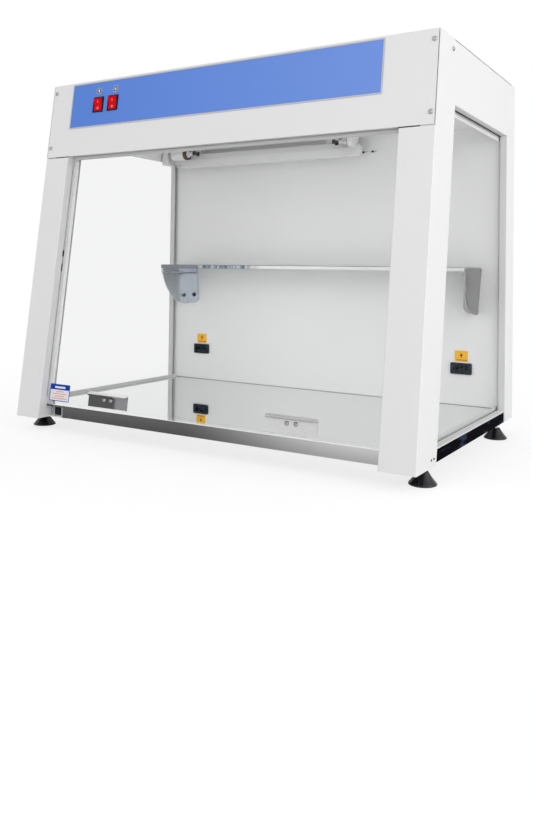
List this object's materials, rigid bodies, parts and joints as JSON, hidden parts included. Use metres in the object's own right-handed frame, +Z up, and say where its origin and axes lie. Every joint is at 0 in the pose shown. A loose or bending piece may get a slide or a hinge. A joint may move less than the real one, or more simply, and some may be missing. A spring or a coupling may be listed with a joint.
{
  "type": "laminar flow hood",
  "caption": "Still-air bench workstation with a hinged leaning front window, clear sides, steel tray, glass shelf, lamps and rocker switches.",
  "frame": {"origin": "centre of the footprint, on the bench", "axes": "+X along the width to the user's right, +Y from the front to the back, +Z up"},
  "size_m": [0.817, 0.52, 0.67],
  "materials": {
    "painted_white": "satin powder coat, near white",
    "frame_black": "gloss black enamel",
    "tray_stainless": "bright polished stainless",
    "satin_stainless": "satin stainless",
    "black_screws": "blacked steel",
    "zinc": "bright zinc plate",
    "window_clear": "clear, polished edges",
    "shelf_glass": "clear float glass, green edge",
    "seal_black": "matt black",
    "foot_black": "moulded black",
    "panel_blue": "printed overlay, blue with a beige border",
    "label_orange": "plain orange label",
    "label_white": "plain printed label",
    "plastic_black": "moulded black",
    "rocker_red": "translucent red",
    "plastic_white": "moulded white",
    "tube_clear": "clear quartz with aluminium caps",
    "tube_white": "phosphor-coated glass with aluminium caps",
    "ballast_grey": "grey enamel"
  },
  "bodies": {
    "cabinet": {"left_side_panel": "painted_white", "right_side_panel": "painted_white", "header_front_cover": "painted_white", "top_cover": "painted_white", "ceiling_panel": "painted_white", "rear_inner_wall": "painted_white", "rear_cover": "painted_white", "uv_lamp_body": "painted_white", "white_lamp_body": "painted_white", "base_frame": "frame_black", "work_tray": "tray_stainless", "left_shelf_bracket": "satin_stainless", "right_shelf_bracket": "satin_stainless", "hinge_frame_leaf": "satin_stainless", "panel_screws": "zinc", "hinge_pin": "zinc", "foot_nuts": "zinc", "left_side_window": "window_clear", "right_side_window": "window_clear", "glass_shelf": "shelf_glass", "window_seals": "seal_black", "control_panel_label": "panel_blue", "left_outlet_label": "label_orange", "right_outlet_label": "label_orange", "bracket_screws": "black_screws", "cable_clips": "plastic_black", "light_switch_housing": "plastic_black", "uv_switch_housing": "plastic_black", "left_outlet": "plastic_black", "right_outlet": "plastic_black", "power_inlet": "plastic_black", "terminal_block": "plastic_black", "uv_end_box": "plastic_white", "uv_lampholder_left": "plastic_white", "uv_lampholder_right": "plastic_white", "white_lampholder_left": "plastic_white", "white_lampholder_right": "plastic_white", "uv_lamp_tube": "tube_clear", "white_lamp_tube": "tube_white", "uv_ballast": "ballast_grey", "white_ballast": "ballast_grey"},
    "window": {"front_window": "window_clear", "window_sticker": "label_white", "window_top_rail": "satin_stainless", "left_handle": "satin_stainless", "right_handle": "satin_stainless", "handle_screws": "zinc", "handle_nuts": "zinc"},
    "light_switch": {"light_rocker": "rocker_red"},
    "uv_switch": {"uv_rocker": "rocker_red"},
    "front_left_foot": {"front_left_foot_pad": "foot_black", "front_left_foot_stud": "zinc"},
    "front_right_foot": {"front_right_foot_pad": "foot_black", "front_right_foot_stud": "zinc"},
    "rear_left_foot": {"rear_left_foot_pad": "foot_black", "rear_left_foot_stud": "zinc"},
    "rear_right_foot": {"rear_right_foot_pad": "foot_black", "rear_right_foot_stud": "zinc"}
  },
  "joints": [
    {"name": "front_window_hinge", "type": "hinge", "parent": "cabinet", "child": "window", "pos_m": [0, -0.17433, 0.52792], "axis": [-1, 0, 0], "range_deg": [0, 48]},
    {"name": "light_switch_rocker", "type": "hinge", "parent": "cabinet", "child": "light_switch", "pos_m": [-0.275, -0.18224, 0.62057], "axis": [-1, 0, 0], "range_deg": [0, 16]},
    {"name": "uv_switch_rocker", "type": "hinge", "parent": "cabinet", "child": "uv_switch", "pos_m": [-0.2385, -0.18224, 0.62057], "axis": [-1, 0, 0], "range_deg": [0, 16]},
    {"name": "front_left_foot_turn", "type": "hinge", "parent": "cabinet", "child": "front_left_foot", "pos_m": [-0.3875, -0.2, 0], "axis": [0, 0, 1], "continuous": true},
    {"name": "front_right_foot_turn", "type": "hinge", "parent": "cabinet", "child": "front_right_foot", "pos_m": [0.3875, -0.2, 0], "axis": [0, 0, 1], "continuous": true},
    {"name": "rear_left_foot_turn", "type": "hinge", "parent": "cabinet", "child": "rear_left_foot", "pos_m": [-0.3875, 0.185, 0], "axis": [0, 0, 1], "continuous": true},
    {"name": "rear_right_foot_turn", "type": "hinge", "parent": "cabinet", "child": "rear_right_foot", "pos_m": [0.3875, 0.185, 0], "axis": [0, 0, 1], "continuous": true}
  ]
}
